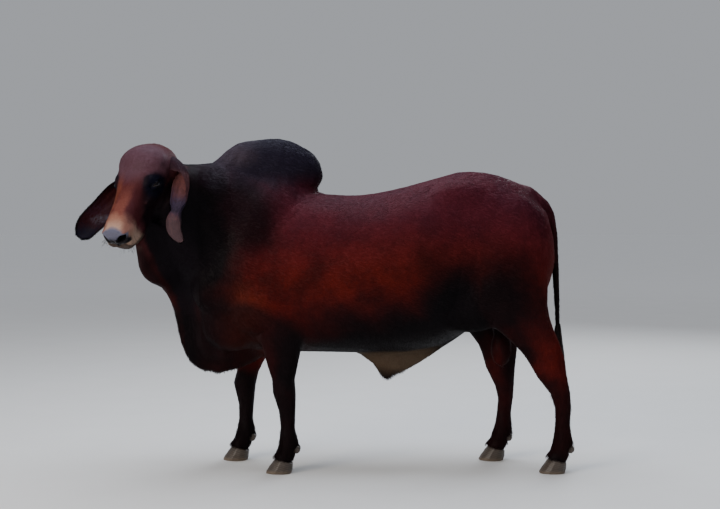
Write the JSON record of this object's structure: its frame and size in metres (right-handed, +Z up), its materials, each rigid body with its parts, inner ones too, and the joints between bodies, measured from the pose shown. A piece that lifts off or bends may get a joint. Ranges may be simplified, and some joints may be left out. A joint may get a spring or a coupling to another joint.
{
  "type": "brahman cattle figure",
  "caption": "Life-size standing zebu bull with a shoulder hump, a deep dewlap, long drooping ears and its head turned to its left.",
  "frame": {"origin": "centre of the bounding box in plan, at the level of the soles", "axes": "the body lies along X with the head towards -X, its left side towards -Y, and +Z up"},
  "size_m": [2.4824, 0.9108, 1.6712],
  "materials": {
    "red_coat": "short glossy red-brown hair",
    "dark_coat": "short near-black brown hair",
    "long_hair": "long black hair in locks",
    "horn": "dark horn, satin",
    "eye": "wet dark brown"
  },
  "bodies": {
    "root": {"claw_inner_fore_leg_left": "horn", "claw_inner_fore_leg_right": "horn", "claw_inner_hind_leg_left": "horn", "claw_inner_hind_leg_right": "horn", "claw_outer_fore_leg_left": "horn", "claw_outer_fore_leg_right": "horn", "claw_outer_hind_leg_left": "horn", "claw_outer_hind_leg_right": "horn", "dewclaw_inner_fore_leg_left": "horn", "dewclaw_inner_fore_leg_right": "horn", "dewclaw_inner_hind_leg_left": "horn", "dewclaw_inner_hind_leg_right": "horn", "dewclaw_outer_fore_leg_left": "horn", "dewclaw_outer_fore_leg_right": "horn", "dewclaw_outer_hind_leg_left": "horn", "dewclaw_outer_hind_leg_right": "horn", "dewlap": "dark_coat", "ear_left": "red_coat", "ear_right": "red_coat", "eye_left": "eye", "eye_right": "eye", "fore_leg_left": "red_coat", "fore_leg_right": "red_coat", "head": "red_coat", "hind_leg_left": "red_coat", "hind_leg_right": "red_coat", "hump": "dark_coat", "neck": "dark_coat", "scrotum": "red_coat", "sheath": "red_coat", "tail": "red_coat", "tail_switch": "long_hair", "torso": "red_coat"}
  },
  "joints": []
}
